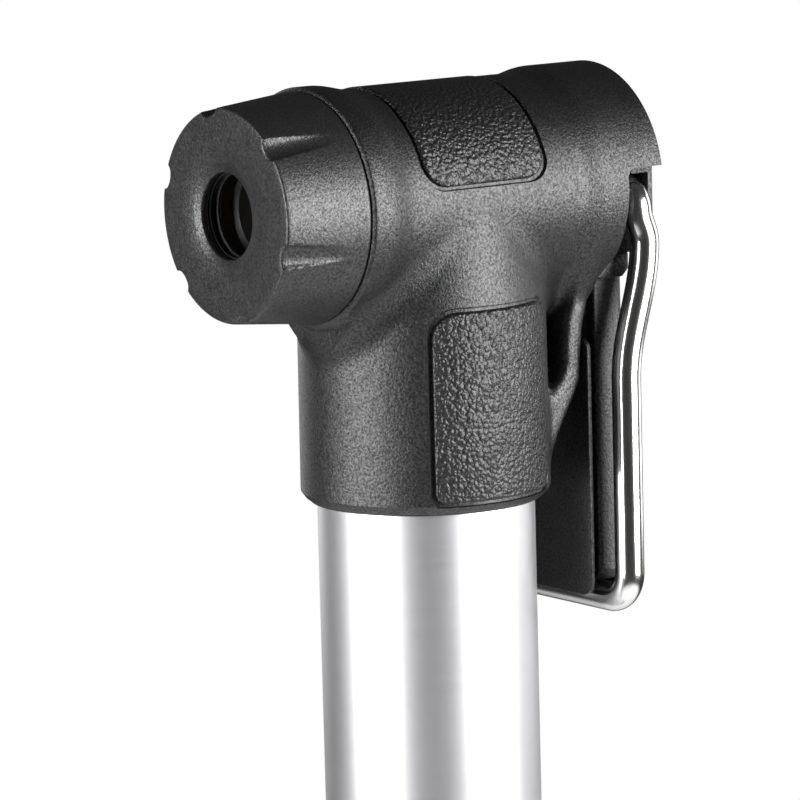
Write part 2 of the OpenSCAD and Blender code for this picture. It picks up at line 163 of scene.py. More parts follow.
class StageSettings(bpy.types.PropertyGroup):
    distance: length("Camera distance", "Distance of the camera from the head", 500)
    lens: FloatProperty(name="Lens", description="Focal length in millimetres", default=225.0)
    floor: length("Floor drop", "How far the floor lies below the handle, to leave room for its stroke", 98.5)
    azimuth: FloatProperty(name="Azimuth", description="Camera's turn round the pump", subtype="ANGLE",
                           default=radians(53.32), unit="ROTATION")
    elevation: FloatProperty(name="Elevation", description="Camera's angle above the pump", subtype="ANGLE",
                             default=radians(9.06), unit="ROTATION")
    roll: FloatProperty(name="Roll", description="Camera's turn about its own axis", subtype="ANGLE",
                        default=radians(-1.5), unit="ROTATION")


# ---------------------------------------------------------------- modelling tools


def deselect():
    """Leaves edit mode and clears the selection."""
    if bpy.context.object and bpy.context.object.mode != "OBJECT":
        bpy.ops.object.mode_set(mode="OBJECT")
    bpy.ops.object.select_all(action="DESELECT")


def pick(piece):
    """Makes a piece the only selected object and the active one."""
    deselect()
    piece.select_set(True)
    bpy.context.view_layer.objects.active = piece


def edit(piece):
    """Opens a piece in edit mode with all of it selected."""
    pick(piece)
    bpy.ops.object.mode_set(mode="EDIT")
    bpy.ops.mesh.select_all(action="SELECT")


def clean(piece):
    """Merges doubles and turns all faces outwards."""
    edit(piece)
    bpy.ops.mesh.remove_doubles(threshold=0.001 * MM)
    bpy.ops.mesh.normals_make_consistent(inside=False)
    bpy.ops.object.mode_set(mode="OBJECT")


def chain(name, points, closed):
    """A chain of edges through 3-D points: one vertex, extruded from point to point."""
    deselect()
    bpy.ops.mesh.primitive_plane_add(size=MM)
    piece = bpy.context.object
    piece.name = name
    bpy.ops.object.mode_set(mode="EDIT")
    bpy.ops.mesh.select_all(action="SELECT")
    bpy.ops.mesh.merge(type="CENTER")
    places = [Vector(point) * MM for point in points]
    bpy.ops.transform.translate(value=places[0])
    for before, after in zip(places, places[1:] + places[:1] * closed):
        bpy.ops.mesh.extrude_region_move(TRANSFORM_OT_translate={"value": after - before})
    bpy.ops.mesh.select_all(action="SELECT")
    bpy.ops.mesh.remove_doubles(threshold=0.001 * MM)
    bpy.ops.mesh.select_all(action="SELECT")
    return piece


def stand(piece, axis, centre):
    """Turns a piece made about Z to lie along another axis, and moves it to its centre."""
    bpy.ops.object.mode_set(mode="OBJECT")
    pick(piece)
    turns = {"Z": (0, 0, 0), "Y": (-pi / 2, 0, 0), "X": (0, pi / 2, 0)}
    piece.rotation_euler = turns[axis]
    piece.location = Vector(centre) * MM
    bpy.ops.object.transform_apply(location=True, rotation=True, scale=True)
    return piece


def turned(name, outline, axis="Z", centre=(0, 0, 0), steps=128):
    """A body turned from an outline of (radius, height) points about an axis.

    An outline that starts and ends on the axis makes a solid, and any other is a closed ring."""
    solid = outline[0][0] == 0 and outline[-1][0] == 0
    piece = chain(name, [(radius, 0, height) for radius, height in outline], not solid)
    bpy.ops.mesh.spin(steps=steps, angle=tau, center=(0, 0, 0), axis=(0, 0, 1))
    stand(piece, axis, centre)
    clean(piece)
    return piece


def extruded(name, outline, axis, low, high, centre=(0, 0, 0)):
    """A slab with a closed outline, pushed out from low to high along an axis.

    The outline holds (y, z) points for X, (x, z) for Y and (x, y) for Z."""
    place = {"X": lambda u, v: (low, u, v), "Y": lambda u, v: (u, low, v), "Z": lambda u, v: (u, v, low)}
    way = {"X": Vector((1, 0, 0)), "Y": Vector((0, 1, 0)), "Z": Vector((0, 0, 1))}
    piece = chain(name, [place[axis](u, v) for u, v in outline], True)
    bpy.ops.mesh.edge_face_add()
    bpy.ops.mesh.extrude_region_move(TRANSFORM_OT_translate={"value": way[axis] * (high - low) * MM})
    stand(piece, "Z", centre)
    clean(piece)
    return piece


def rounded(corners, pieces=6):
    """An outline through (u, v, radius) corners, each turned into an arc of its radius."""
    outline = []
    for i, (u, v, radius) in enumerate(corners):
        if radius == 0:
            outline.append((u, v))
            continue
        here = Vector((u, v))
        back = (Vector(corners[i - 1][:2]) - here).normalized()
        ahead = (Vector(corners[(i + 1) % len(corners)][:2]) - here).normalized()
        half = acos(max(-1.0, min(1.0, back.dot(ahead)))) / 2
        centre = here + (back + ahead).normalized() * radius / sin(half)
        start = here + back * radius / tan(half) - centre
        end = here + ahead * radius / tan(half) - centre
        first = atan2(start.y, start.x)
        sweep = (atan2(end.y, end.x) - first + pi) % tau - pi
        for k in range(pieces + 1):
            angle = first + sweep * k / pieces
            outline.append((centre.x + radius * cos(angle), centre.y + radius * sin(angle)))
    return outline


def change(piece, kind, **settings):
    """Adds a modifier with its settings and applies it."""
    pick(piece)
    modifier = piece.modifiers.new(kind.title(), kind)
    for name, value in settings.items():
        setattr(modifier, name, value)
    bpy.ops.object.modifier_apply(modifier=modifier.name)


def combine(piece, tool, operation="DIFFERENCE"):
    """Cuts a piece with a tool, adds the tool to it or keeps what they share."""
    change(piece, "BOOLEAN", operation=operation, solver="MANIFOLD", object=tool)
    bpy.data.objects.remove(tool)


def soften(piece, width, segments=3, angle=40):
    """Rounds every edge that turns by more than an angle."""
    change(piece, "BEVEL", width=width * MM, segments=segments, limit_method="ANGLE",
           angle_limit=radians(angle), use_clamp_overlap=True)


def slice_off(piece, point, outward):
    """Cuts off all that lies past a plane and closes the cut."""
    edit(piece)
    bpy.ops.mesh.bisect(plane_co=Vector(point) * MM, plane_no=outward, use_fill=True, clear_outer=True)
    bpy.ops.object.mode_set(mode="OBJECT")


def move_points(piece, rule):
    """Moves all vertices of a piece by a rule on an array of places in millimetres."""
    places = np.empty(len(piece.data.vertices) * 3, np.float32)
    piece.data.vertices.foreach_get("co", places)
    places = rule(places.reshape(-1, 3).astype(float) / MM) * MM
    piece.data.vertices.foreach_set("co", places.astype(np.float32).ravel())
    piece.data.update()


def mirrored(piece, name):
    """A copy of a piece on the other side of the middle plane."""
    other = piece.copy()
    other.data = piece.data.copy()
    other.name = name
    bpy.context.scene.collection.objects.link(other)
    move_points(other, lambda places: places * (-1, 1, 1))
    clean(other)
    return other


def finish(piece, body, material, slot, *nodes, angle=35):
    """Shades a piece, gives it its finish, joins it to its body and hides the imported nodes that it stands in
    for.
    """
    pick(piece)
    bpy.ops.object.shade_smooth_by_angle(angle=radians(angle))
    piece.data.materials.clear()
    piece.data.materials.append(material)
    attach(piece, body)
    if nodes:
        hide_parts(*nodes)


# ---------------------------------------------------------------- head


def ease(share):
    """A smooth step from 0 to 1."""
    share = np.clip(share, 0, 1)
    return share * share * (3 - 2 * share)


def tube_radius(y, sizes):
    """Radius of the cross tube: a bead at the front, a waist, and the hood behind."""
    waist = sizes.waist / MM
    bead = (sizes.bead / MM - waist) * ease((-8.35 - y) / 4)
    hood = (sizes.hood / MM - waist) * ease((y - 11.8) / 3.4)
    return waist + bead + hood


def collar_radius(z, sizes):
    """Radius of the collar, a little wider at its foot, and its shoulder under the cross tube."""
    flare = 0.14 * np.clip((-9.5 - z) / 21, 0, 1)
    shoulder = 1.15 * ease((z + 13) / 12)
    return sizes.collar / MM + flare - shoulder


def outline_distance(u, v, outline):
    """Distance of points from a closed outline, negative inside it."""
    best = np.full(u.shape, 1e9)
    inside = np.zeros(u.shape, bool)
    for (u0, v0), (u1, v1) in zip(outline, outline[1:] + outline[:1]):
        du, dv = u1 - u0, v1 - v0
        share = np.clip(((u - u0) * du + (v - v0) * dv) / (du * du + dv * dv), 0, 1)
        best = np.minimum(best, np.hypot(u - u0 - share * du, v - v0 - share * dv))
        if dv != 0:
            crosses = (v0 > v) != (v1 > v)
            inside ^= crosses & (u < u0 + (v - v0) * du / dv)
    return np.where(inside, -best, best)


def round_join(first, second, radius):
    """Joins two surfaces with a fillet of the given radius."""
    free = np.maximum(radius, np.minimum(first, second))
    return free - np.hypot(np.maximum(radius - first, 0), np.maximum(radius - second, 0))


STRAP_HALF = 7.3
WEB_HALF = 1.2
WEB = [(9, -7), (15, -7), (13, -18), (9, -21)]
STRAP = [(17.6, -5.5), (17.0, -7.6), (16.4, -9.2), (15.97, -11), (15.1, -14.2), (14.75, -17.4),
         (14.62, -19.6), (13.84, -21.2), (12.76, -23.05), (11.67, -25), (10.69, -27.2), (9.6, -29.4),
         (8, -28), (8.6, -22), (10.2, -21.4), (11.2, -20.1), (12.1, -19.2), (12.6, -17.9), (12.7, -15.5),
         (13.0, -13.2), (13.6, -11.6), (14.4, -9.8), (14.9, -5.5)]


def head_surface(places, sizes):
    """Distance of points from the moulding's blended outer skin, negative inside it."""
    x, y, z = places.T
    from_y = np.hypot(x, z)
    from_z = np.hypot(x, y)
    tube = from_y - tube_radius(y, sizes)
    collar = np.maximum(from_z - collar_radius(z, sizes), z)
    alike = x * x / np.maximum(from_y * from_z, 1)
    body = round_join(tube, collar, sizes.fillet / MM * (1 - alike))
    edge = 0.7
    across = np.abs(x) - STRAP_HALF + edge
    along = outline_distance(y, z, STRAP) + edge
    corner = np.hypot(np.maximum(across, 0), np.maximum(along, 0))
    strap = np.minimum(np.maximum(across, along), 0) + corner - edge
    body = round_join(body, strap, 0.5 + 2.2 * ease((z + 15) / 5))
    web = np.maximum(np.abs(x) - WEB_HALF, outline_distance(y, z, WEB))
    return round_join(body, web, 0.4)


def settle_on_surface(piece, sizes):
    """Moves the vertices of a rough union onto the moulding's blended skin."""

    def rule(places):
        places = places - np.array(HEAD)
        reach = 0.02
        for _ in range(8):
            value = head_surface(places, sizes)
            slope = np.stack([(head_surface(places + reach * axis, sizes)
                               - head_surface(places - reach * axis, sizes)) / (2 * reach)
                              for axis in np.eye(3)], axis=1)
            step = value / np.maximum((slope ** 2).sum(axis=1), 0.3)
            step = np.where(np.abs(value) < 3, np.clip(step, -0.6, 0.6), 0)
            places = places - step[:, None] * slope
        return places + np.array(HEAD)

    move_points(piece, rule)


def pad_window(name, corners, levels, wrap):
    """A plate with rounded corners, built up through (height, growth) levels and wrapped round.

    Corners are (u, v, radius) on the unrolled skin, with u along the wrap."""
    outline = rounded(corners, 8)
    piece = chain(name, [(u, v, levels[0][0]) for u, v in outline], True)
    bpy.ops.mesh.edge_face_add()
    wide = max(u for u, v in outline) - min(u for u, v in outline)
    tall = max(v for u, v in outline) - min(v for u, v in outline)
    middle = Vector(((max(u for u, v in outline) + min(u for u, v in outline)) / 2,
                     (max(v for u, v in outline) + min(v for u, v in outline)) / 2, 0)) * MM
    grown = 0
    for i, (height, growth) in enumerate(levels):
        if i > 0:
            rise = Vector((0, 0, height - levels[i - 1][0])) * MM
            bpy.ops.mesh.extrude_region_move(TRANSFORM_OT_translate={"value": rise})
        scale = ((wide + 2 * growth) / (wide + 2 * grown), (tall + 2 * growth) / (tall + 2 * grown), 1)
        bpy.ops.transform.resize(value=scale, center_override=middle)
        grown = growth
    for step in range(-40, 41):
        bpy.ops.mesh.select_all(action="SELECT")
        bpy.ops.mesh.bisect(plane_co=(step * 0.5 * MM, 0, 0), plane_no=(1, 0, 0))
    bpy.ops.object.mode_set(mode="OBJECT")
    move_points(piece, wrap)
    clean(piece)
    return piece


def side_wrap(sizes):
    """The rule that wraps a flat plate round the collar."""
    def rule(places):
        u, z, height = places.T
        radius = collar_radius(z, sizes) + height
        angle = u / (sizes.collar / MM)
        return np.stack([radius * np.cos(angle), radius * np.sin(angle), z + HEAD.z], axis=1)
    return rule


def top_wrap(sizes):
    """The rule that wraps a flat plate over the cross tube."""
    def rule(places):
        u, y, height = places.T
        waist = sizes.waist / MM
        radius = waist + height
        return np.stack([radius * np.sin(u / waist), y, radius * np.cos(u / waist) + HEAD.z], axis=1)
    return rule


def side_corners(sizes):
    """Corners of a side pad, on the collar unrolled from its outermost line."""
    arc = radians(1) * sizes.collar / MM
    low, high = -32.5 * arc, 38 * arc
    return [(low, -29.3, 1.0), (high, -29.3, 1.6), (high, -10.4, 1.7), (low, -10.4, 2.8)]


def top_corners(sizes):
    """Corners of the top pad, on the cross tube unrolled from its top line."""
    half = 79.5 * radians(1) * sizes.waist / MM
    return [(-half, -7.05, 2.6), (half, -7.05, 2.6), (half, 7.65, 2.3), (-half, 7.65, 2.3)]


def pocket_levels(groove):
    """A pad's pocket: a deep seat under the pad, then a groove with sloped walls round it."""
    return [(-0.9, 0.03), (-0.34, 0.03), (-0.34, groove - 0.1), (0.02, groove + 0.06), (1.2, groove + 0.3)]


def pad_levels(proud):
    """A pad: straight sides, then an edge rounded over in three steps."""
    return [(-0.88, 0), (proud - 0.3, 0), (proud - 0.12, -0.06), (proud - 0.03, -0.18), (proud, -0.36)]


def make_head(head, pads):
    """The T-shaped moulding with its bores, ears and pad pockets."""
    centre = tuple(HEAD)
    seam, rear, foot = CAP_HIGH.y + 0.05, HEAD_HIGH.y, HEAD_LOW.z
    nose = HEAD_LOW.y
    waist = head.waist / MM
    tube = turned("head_moulding", [(0, seam - 4), (waist, seam - 4), (waist, rear + 3), (0, rear + 3)],
                  "Y", centre, 96)
    collar = turned("collar", [(0, foot - 3), (12.5, foot - 3), (12.5, -6), (10, -1), (0, -1)],
                    "Z", centre, 96)
    strap = extruded("strap", STRAP, "X", -STRAP_HALF, STRAP_HALF, centre)
    web = extruded("web", WEB, "X", -WEB_HALF, WEB_HALF, centre)
    pick(tube)
    for part in (collar, strap, web):
        part.select_set(True)
    bpy.ops.object.join()
    change(tube, "REMESH", mode="VOXEL", voxel_size=head.voxel)
    settle_on_surface(tube, head)
    slice_off(tube, (0, seam, 0), (0, -1, 0))
    slice_off(tube, (0, rear, 0), (0, 1, 0))
    slice_off(tube, (0, 0, HEAD.z + foot), (0, 0, -1))
    spigot = turned("spigot", [(0, nose), (SPIGOT_RADIUS - 0.5, nose), (SPIGOT_RADIUS, nose + 0.5),
                               (SPIGOT_RADIUS, seam + 1), (0, seam + 1)], "Y", centre)
    combine(tube, spigot, "UNION")
    # edges at the collar's foot, the seam and the hood's mouth
    foot_edge = [(11.7, foot - 1), (11.7, foot), (12.2, foot + 0.35), (13.1, foot + 1.6),
                 (14, foot + 1.6), (14, foot - 1)]
    seam_edge = [(11.5, seam - 1), (11.5, seam), (11.62, seam + 0.04), (11.8, seam + 0.2),
                 (12.4, seam + 1.2), (15, seam + 1.2), (15, seam - 1)]
    mouth_edge = [(11.55, rear + 1), (11.55, rear), (11.9, rear - 0.35), (13, rear - 1), (13, rear + 1)]
    combine(tube, turned("foot_edge", foot_edge, "Z", centre))
    combine(tube, turned("seam_edge", seam_edge, "Y", centre))
    combine(tube, turned("mouth_edge", mouth_edge, "Y", centre))
    # cavity under the hood, its notch for the lever, and the ears that carry the pin
    cavity = rounded([(0, CAVITY_FLOOR, 0), (CAVITY_RADIUS, CAVITY_FLOOR, 0.8), (CAVITY_RADIUS, 24, 0),
                      (0, 24, 0)])
    combine(tube, turned("hood_cavity", cavity, "Y", centre))
    notch = rounded([(17.6, 1.9, 1), (17.6, -7, 0), (16.3, -9.2, 0), (15.97, -11, 0), (15.1, -14.2, 0),
                     (30, -14.2, 0), (30, 1.9, 0)], 8)
    combine(tube, extruded("hood_notch", notch, "X", -20, 20, centre))
    for side in (-1, 1):
        ear = extruded("ear", rounded([(15, -3.2, 0), (22.1, -3.2, 2), (22.1, 2.2, 2), (15, 2.2, 0)]), "X",
                       *sorted((EAR_INNER * side, EAR_OUTER * side)), centre)
        combine(tube, ear, "UNION")
    pin = [(0, -8), (1.55, -8), (1.55, 8), (0, 8)]
    combine(tube, turned("pin_hole", pin, "X", (0, PIVOT.y, HEAD.z + PIVOT.z), 48))
    # the plunger's bore, and the barrel's socket with the check valve's stepped hole
    bore = [(0, nose - 1), (CHAMBER_RADIUS, nose - 1), (CHAMBER_RADIUS, 10), (TAIL_RADIUS, 10),
            (TAIL_RADIUS, CAVITY_FLOOR + 1), (0, CAVITY_FLOOR + 1)]
    combine(tube, turned("plunger_bore", bore, "Y", centre, 96))
    top = BARREL_HIGH.z - HEAD.z
    socket = [(0, foot - 1), (11, foot - 1), (11, top + 1.3), (8.8, top + 1.3), (8.8, top), (3.5, top),
              (3.5, top + 1.2), (2.6, top + 1.2), (2.6, -8.2), (1.3, -8.2), (1.3, -6), (0, -6)]
    combine(tube, turned("barrel_socket", socket, "Z", centre, 96))
    groove = pads.groove / MM
    pocket = pad_window("side_pocket", side_corners(head), pocket_levels(groove), side_wrap(head))
    combine(tube, mirrored(pocket, "side_pocket_left"))
    combine(tube, pocket)
    combine(tube, pad_window("top_pocket", top_corners(head), pocket_levels(groove), top_wrap(head)))
    return tube


# ---------------------------------------------------------------- cap, lever, barrel and handle


def make_cap(cap):
    """The screw cap: a cone with tapering grip notches and a dished port."""
    front, back = CAP_LOW.y, CAP_HIGH.y
    face, port = cap.face / MM, cap.port / MM
    wide = CAP_HIGH.x
    rim = rounded([(9.4, front, 0), (face, front, 0.28), (wide, back, 0.28), (9.65, back, 0)], 4)
    arc = rim[1:6]
    cone = [(arc[-1][0] + (rim[6][0] - arc[-1][0]) * k / 24, arc[-1][1] + (rim[6][1] - arc[-1][1]) * k / 24)
            for k in range(1, 24)]
    mouth = [(port, front + 1.0), (port, front + 0.34), (port + 0.08, front + 0.24),
             (port + 0.9, front + 0.04), (port + 1.0, front), (7.5, front), (9.0, front)]
    inside = [(9.65, HEAD_LOW.y - 0.3), (CHAMBER_RADIUS, HEAD_LOW.y - 0.3), (CHAMBER_RADIUS, front + 1.2),
              (port + 0.15, front + 1.2)]
    outline = mouth + rim[:1] + arc + cone + rim[6:] + inside
    piece = turned("screw_cap", outline, "Y", tuple(HEAD), 480)

    def notch(places):
        x, y, z = (places - np.array(HEAD)).T
        radius = np.hypot(x, z)
        share = np.clip((y - front) / 7.2, 0, 1)
        angle = np.arctan2(x, z) - cap.notch_turn
        pitch = tau / cap.notches
        aside = ((angle + pitch / 2) % pitch - pitch / 2) * face
        width = cap.notch_width / MM * (1 - 0.62 * share)
        depth = cap.notch_depth / MM * (1 - share) * np.sqrt(np.clip(1 - (aside / width) ** 2, 0, 1))
        depth = np.where(radius > 9.7, depth, 0)
        scale = (radius - depth) / np.maximum(radius, 0.001)
        return np.stack([x * scale, y, z * scale], axis=1) + np.array(HEAD)

    move_points(piece, notch)
    return piece


def bail_route(wire):
    """Half of the bail's centre line: pin, top bend, jog, straight leg and lower bend."""
    bend, top_bend = 3.0, 2.2
    side = BAIL_HIGH.x - wire / 2
    foot = BAIL_LOW.z + wire / 2
    straight = BAIL_LOW.y + wire / 2

    def leg_y(z):
        if z > -5.8:
            return PIVOT.y + JOG * float(ease((-2.5 - z) / 3.3))
        return straight + (PIVOT.y + JOG - straight) * (1 - (1 - cos(pi * min(1, (-5.8 - z) / 14))) / 2)

    route = [(1.5, PIVOT.y, PIVOT.z), (side - top_bend - 0.5, PIVOT.y, PIVOT.z)]
    for k in range(13):
        angle = radians(90 - 7.5 * k)
        z = PIVOT.z - top_bend + top_bend * sin(angle)
        route.append((side - top_bend + top_bend * cos(angle), leg_y(z), z))
    route += [(side, leg_y(-3.2 - 0.6 * k), -3.2 - 0.6 * k) for k in range(29)]
    route += [(side, straight, -24), (side, straight, -32)]
    for k in range(13):
        angle = radians(-7.5 * k)
        route.append((side - bend + bend * cos(angle), straight, foot + bend + bend * sin(angle)))
    return route


def make_bail(lever):
    """The wire bail, swept along its route with its ends turned in as hinge pins."""
    wire = lever.wire / MM
    half = bail_route(wire)
    route = half + [(-x, y, z) for x, y, z in reversed(half)]
    deselect()
    curve = bpy.data.curves.new("wire_bail_curve", "CURVE")
    curve.dimensions = "3D"
    curve.bevel_depth = lever.wire / 2
    curve.bevel_resolution = 10
    curve.use_fill_caps = True
    line = curve.splines.new("POLY")
    line.points.add(len(route) - 1)
    for point, place in zip(line.points, route):
        point.co = (*((Vector(place) + HEAD) * MM), 1)
    piece = bpy.data.objects.new("bail_wire", curve)
    bpy.context.scene.collection.objects.link(piece)
    pick(piece)
    bpy.ops.object.convert(target="MESH")
    piece = bpy.context.object
    clean(piece)
    return piece


def make_hub():
    """Cam, cheeks and lower block, turned and cut as one moulding."""
    centre = tuple(HEAD)
    pin = (0, PIVOT.y, HEAD.z + PIVOT.z)
    hub = turned("cam_cheeks", [(0, -4.4), (3.6, -4.4), (3.6, 4.4), (0, 4.4)], "X",
                 (0, PIVOT.y, HEAD.z + PIVOT.z + 1.4), 64)
    core = extruded("core", rounded([(18.5, -7.1, 0.5), (21, -7.1, 0.5), (21, 0, 0.5), (18.5, 0, 0.5)]), "X",
                    -4.4, 4.4, centre)
    combine(hub, core, "UNION")
    for side in (-1, 1):
        reach = sorted((CHEEK_INNER * side, CHEEK_OUTER * side))
        cheek = turned("cheek", [(0, reach[0]), (3.4, reach[0]), (3.4, reach[1]), (0, reach[1])],
                       "X", pin, 64)
        combine(hub, cheek, "UNION")
        arm_ends = sorted((CHEEK_INNER * side, 8 * side))
        arm = [(18.8, -7.1), (21, -7.1), (21, PIVOT.z), (18.8, PIVOT.z)]
        combine(hub, extruded("arm", arm, "X", *arm_ends, centre), "UNION")
    bar = extruded("bar", [(18.8, -7.1), (21, -7.1), (21, -3.5), (18.8, -3.5)], "X", -8, 8, centre)
    combine(hub, bar, "UNION")
    back = extruded("back", [(22.15, -9), (30, -9), (30, 9), (22.15, 9)], "X", -20, 20, centre)
    combine(hub, back)
    for side in (-1, 1):
        # an L-shaped slot lets each bend of the wire out of its cheek
        for near, far, foot in ((8.02, 20, -10), (6.75, 8.1, -2.7)):
            slot = [(10, foot), (21.6, foot), (21.6, 1.1), (19.5, 1.1), (19.5, 2), (10, 2)]
            combine(hub, extruded("wire_slot", slot, "X", *sorted((near * side, far * side)), centre))
    combine(hub, turned("pin_hole", [(0, -20), (1.52, -20), (1.52, 20), (0, 20)], "X", pin, 48))
    soften(hub, 0.15, 2, 50)
    return hub


def make_shell(lever):
    """The thumb grip between the bail's legs: a wider block above it and a hook at its foot."""
    wide, front, back = SHELL_HIGH.x, SHELL_LOW.y, SHELL_HIGH.y
    half, foot = wide - 0.65, SHELL_LOW.z + 2
    side = [(BOSS_HALF, front, 0.2), (half, front + 0.2, 0.25), (half, 20, 0.8), (6.4, 20.6, 0.8),
            (4, back, 2)]
    section = rounded(side + [(-x, y, radius) for x, y, radius in reversed(side)], 6)
    shell = extruded("thumb_grip", section, "Z", foot, -9.4, tuple(HEAD))
    plan = rounded([(-half, foot, 1.55), (half, foot, 1.55), (half, 0, 0), (-half, 0, 0)], 8)
    combine(shell, extruded("plan", plan, "Y", 10, 30, tuple(HEAD)), "INTERSECT")
    block = extruded("block", rounded([(16.6, -9.3, 0), (19, SHELL_HIGH.z, 0), (20.8, SHELL_HIGH.z, 0.2),
                                       (20.8, -8.8, 0.4), (20, -9.6, 0.3), (17, -9.6, 0)]), "X",
                     -wide, wide, tuple(HEAD))
    soften(block, lever.edge / MM, 2, 50)
    combine(shell, block, "UNION")
    hook = rounded([(-BOSS_HALF, foot - 2, 1), (BOSS_HALF, foot - 2, 1), (BOSS_HALF, foot + 2, 0),
                    (-BOSS_HALF, foot + 2, 0)])
    combine(shell, extruded("hook", hook, "Y", BAIL_LOW.y + 3.05, back, tuple(HEAD)), "UNION")
    return shell


def make_plate():
    """The flat inner face of the lever on its narrower boss."""
    half, low, high = PLATE_HIGH.x, PLATE_LOW.z, PLATE_HIGH.z
    front, back = PLATE_LOW.y, PLATE_HIGH.y
    plan = rounded([(-half, low, 1.6), (half, low, 1.6), (half, high, 1.2), (-half, high, 1.2)], 8)
    plate = extruded("inner_plate", plan, "Y", front, front + 0.55, tuple(HEAD))
    soften(plate, 0.16, 3, 40)
    boss = rounded([(-BOSS_HALF, low + 0.9, 1.3), (BOSS_HALF, low + 0.9, 1.3), (BOSS_HALF, high - 0.7, 1.3),
                    (-BOSS_HALF, high - 0.7, 1.3)])
    combine(plate, extruded("boss", boss, "Y", front + 0.4, back, tuple(HEAD)), "UNION")
    return plate


def make_barrel():
    """The barrel: a drawn tube with its ends faced and chamfered."""
    low, high = BARREL_LOW.z, BARREL_HIGH.z
    outer = BARREL_HIGH.x
    inner = outer - 1
    ring = [(inner, low + 0.2), (inner + 0.2, low), (outer - 0.2, low), (outer, low + 0.2),
            (outer, high - 0.2), (outer - 0.2, high), (inner + 0.2, high), (inner, high - 0.2)]
    return turned("barrel_tube", ring, steps=256)


def make_gland(handle):
    """The gland at the barrel's lower end, with shallow flutes for the fingers."""
    low, high = GLAND_LOW.z, GLAND_HIGH.z
    wide = GLAND_HIGH.x
    skirt = rounded([(3.5, low, 0), (wide, low, 0.6), (wide, high - 1.4, 1.2), (11.9, high, 0.25),
                     (11, high, 0)], 6)
    rise = [(wide, low + 0.7 + (high - low - 3.2) * k / 16) for k in range(1, 16)]
    outline = skirt[:8] + rise + skirt[8:] + [(11, 66), (5.6, 66), (5.6, low + 1.5), (3.5, low + 1.5)]
    piece = turned("lower_gland", outline, steps=288)

    def flute(places):
        x, y, z = places.T
        radius = np.hypot(x, y)
        along = ease((z - low - 1.6) / 2) * ease((high - 3.2 - z) / 2)
        around = np.clip(np.cos(np.arctan2(y, x) * handle.flutes) * 2 - 1, 0, 1)
        depth = np.where(radius > 12, 0.5 * along * around, 0)
        scale = (radius - depth) / np.maximum(radius, 0.001)
        return np.stack([x * scale, y * scale, z], axis=1)

    move_points(piece, flute)
    return piece


def make_grip(handle):
    """The soft sleeve over the handle, with rings round it."""
    low, high, wide = GRIP_LOW.z, GRIP_HIGH.z, GRIP_HIGH.x
    inner = wide - 1.2
    skin = []
    steps = 16 * handle.grooves
    for k in range(steps + 1):
        share = k / steps
        wave = max(0, cos(tau * handle.grooves * share + pi) * 2 - 1)
        skin.append((wide - handle.groove_depth / MM * wave, low + 0.4 + (high - low - 0.8) * share))
    outline = [(inner, low), (wide - 0.35, low)] + skin + [(wide - 0.35, high), (inner, high)]
    return turned("grip_sleeve", outline, steps=160)


def make_end_cap():
    """The handle's end cap: a flat foot with a moulded ring and a rounded edge."""
    wide, high = END_HIGH.x, END_HIGH.z
    foot = rounded([(0, 0, 0), (8.4, 0, 0.15), (8.6, 0.35, 0.15), (9.6, 0.35, 0.15), (9.8, 0, 0.15),
                    (wide, 0, 1.4), (wide, high, 0.25), (12, high, 0), (12, 3, 0), (9, 3, 0), (9, 5, 0),
                    (8, 5, 0), (8, 2, 0), (0, 2, 0)], 5)
    return turned("end_cap", foot, steps=160)


# ---------------------------------------------------------------- finishes


def to_linear(hexadecimal):
    """Turns an sRGB hex colour into the linear colour that shaders take."""
    parts = [int(hexadecimal[i:i + 2], 16) / 255 for i in (1, 3, 5)]
    return (*[part / 12.92 if part <= 0.04045 else ((part + 0.055) / 1.055) ** 2.4 for part in parts], 1)


def add_node(tree, kind, links=(), **settings):
    """Adds a node with its settings, and links its input sockets to sources."""
    node = tree.nodes.new(kind)
    for name, value in settings.items():
        setattr(node, name, value)
    for socket, source in links:
        tree.links.new(source, node.inputs[socket])
    return node


def new_finish(name, hexadecimal, metallic, roughness):
    """A material with a Principled shader, and Object coordinates in the piece's own space."""
    material = bpy.data.materials.new(name)
    material.use_nodes = True
    tree = material.node_tree
    shader = tree.nodes["Principled BSDF"]
    shader.inputs["Base Color"].default_value = to_linear(hexadecimal)
    shader.inputs["Metallic"].default_value = metallic
    shader.inputs["Roughness"].default_value = roughness
    place = add_node(tree, "ShaderNodeTexCoord").outputs["Object"]
    return material, tree, shader, place


def grain(tree, place, size, detail=2.0, roughness=0.6, stretch=(1, 1, 1)):
    """Noise whose lumps are about size millimetres across."""
    frequency = 1 / (size * MM)
    scaled = add_node(tree, "ShaderNodeMapping", [("Vector", place)])
    scaled.inputs["Scale"].default_value = [frequency * part for part in stretch]
    noise = add_node(tree, "ShaderNodeTexNoise", [("Vector", scaled.outputs["Vector"])])
    noise.inputs["Scale"].default_value = 1.0
    noise.inputs["Detail"].default_value = detail
    noise.inputs["Roughness"].default_value = roughness
    return noise


def spread(tree, value, low, high, start=0.0, end=1.0):
    """Maps the range from start to end, which is 0 to 1 unless given, onto another range."""
    node = add_node(tree, "ShaderNodeMapRange", [("Value", value)])
    node.inputs["From Min"].default_value = start
    node.inputs["From Max"].default_value = end
    node.inputs["To Min"].default_value = low
    node.inputs["To Max"].default_value = high
    return node.outputs["Result"]


def tint(tree, shader, factor, hexadecimal, share):
    """Varies the base colour towards another one by a pattern."""
    base = shader.inputs["Base Color"].default_value[:]
    other = to_linear(hexadecimal)
    mix = add_node(tree, "ShaderNodeMix", data_type="RGBA")
    mix.inputs[6].default_value = base
    mix.inputs[7].default_value = [a + (b - a) * share for a, b in zip(base, other)]
    tree.links.new(factor, mix.inputs["Factor"])
    tree.links.new(mix.outputs[2], shader.inputs["Base Color"])


